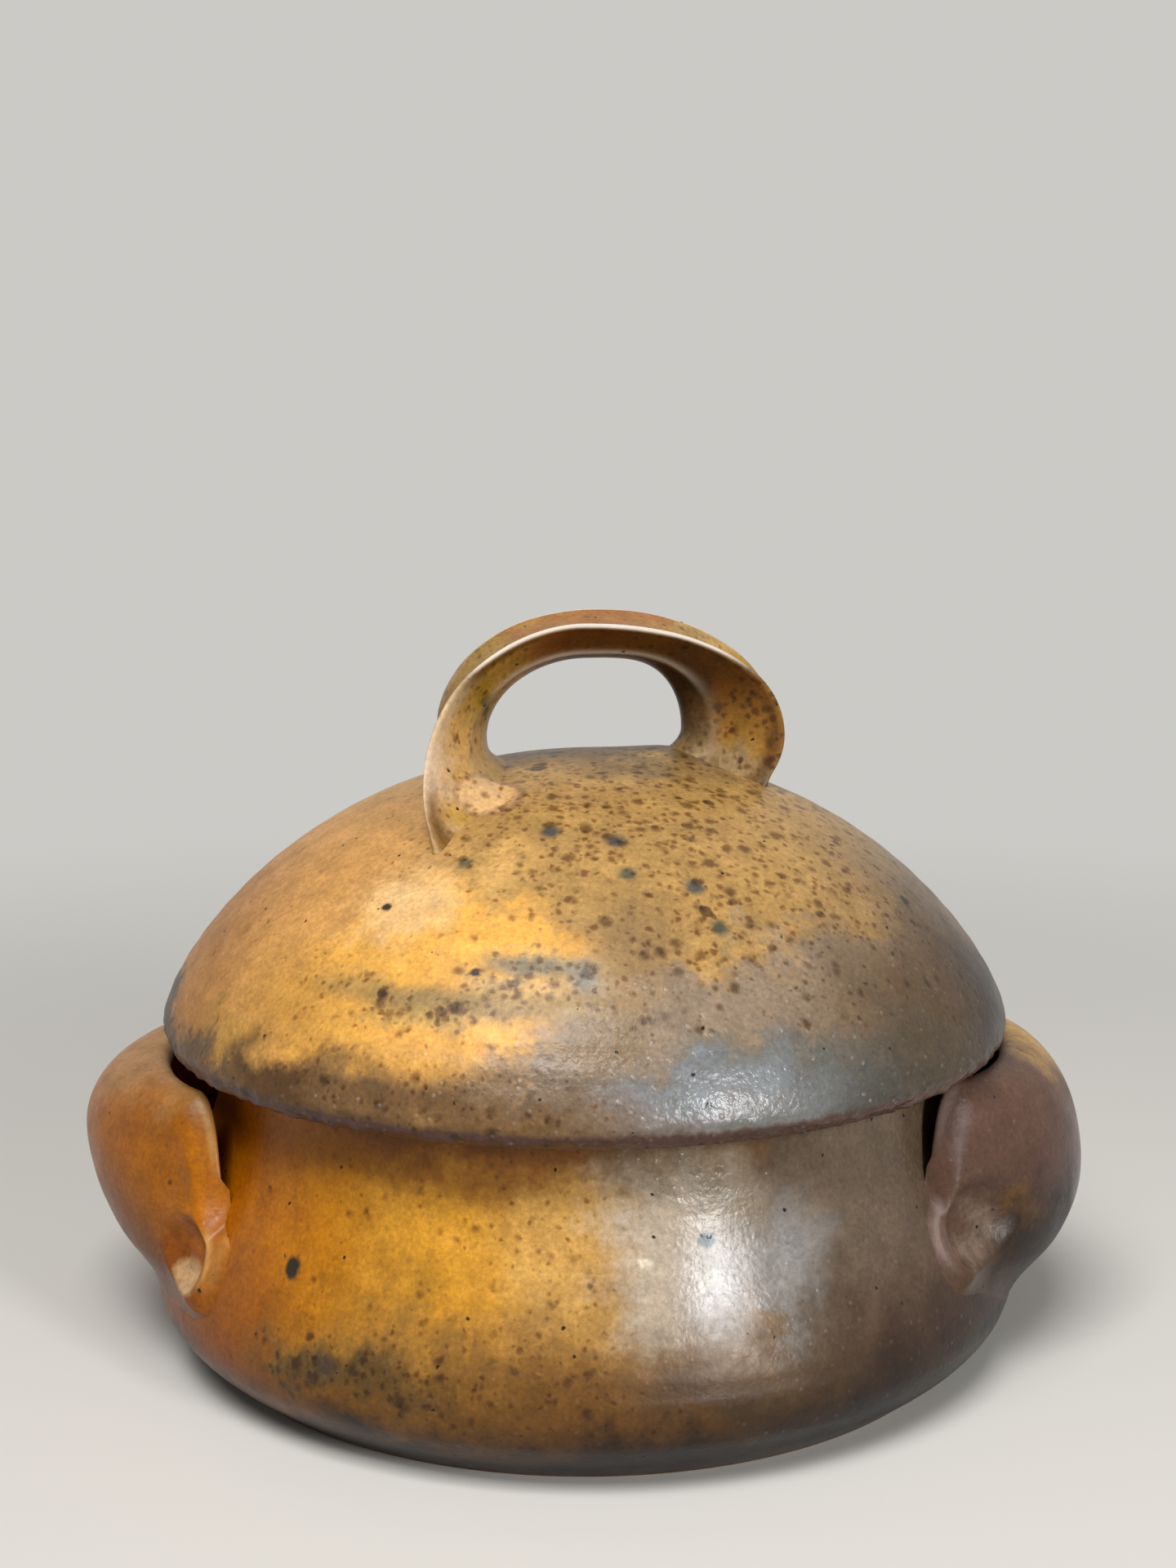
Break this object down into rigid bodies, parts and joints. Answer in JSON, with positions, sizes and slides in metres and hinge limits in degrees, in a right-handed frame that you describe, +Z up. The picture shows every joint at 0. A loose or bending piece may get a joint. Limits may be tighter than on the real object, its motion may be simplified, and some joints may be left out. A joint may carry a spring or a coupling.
{
  "type": "lidded bowl",
  "caption": "Squat hand-thrown stoneware bowl with cupped side lugs and a loose domed cap lid that lifts off by a pulled strap handle.",
  "frame": {"origin": "centre of the flat base, on the surface that the bowl stands on", "axes": "+Z up along the bowl's axis of throwing, +X towards the right lug, the lugs lie along X"},
  "size_m": [0.288, 0.248, 0.2065],
  "materials": {
    "bowl_glaze": "wood-fired ash glaze, amber to olive, satin gloss",
    "left_lug_glaze": "wood-fired flash glaze, orange brown, satin gloss",
    "right_lug_glaze": "wood-fired flash glaze, mauve brown, satin gloss",
    "lid_glaze": "wood-fired ash glaze, speckled ochre to grey, satin gloss",
    "bare_clay": "bare fired stoneware, matt",
    "strap_glaze": "wood-fired ash glaze, mustard ochre, satin gloss"
  },
  "bodies": {
    "pot": {"bowl_body": "bowl_glaze", "left_lug": "left_lug_glaze", "right_lug": "right_lug_glaze"},
    "lid": {"lid_dome": "lid_glaze", "lid_flange": "bare_clay", "lid_strap_handle": "strap_glaze"}
  },
  "joints": [
    {"name": "lid_lift", "type": "slide", "parent": "pot", "child": "lid", "axis": [0, 0, 1], "range_m": [0, 0.15]}
  ]
}
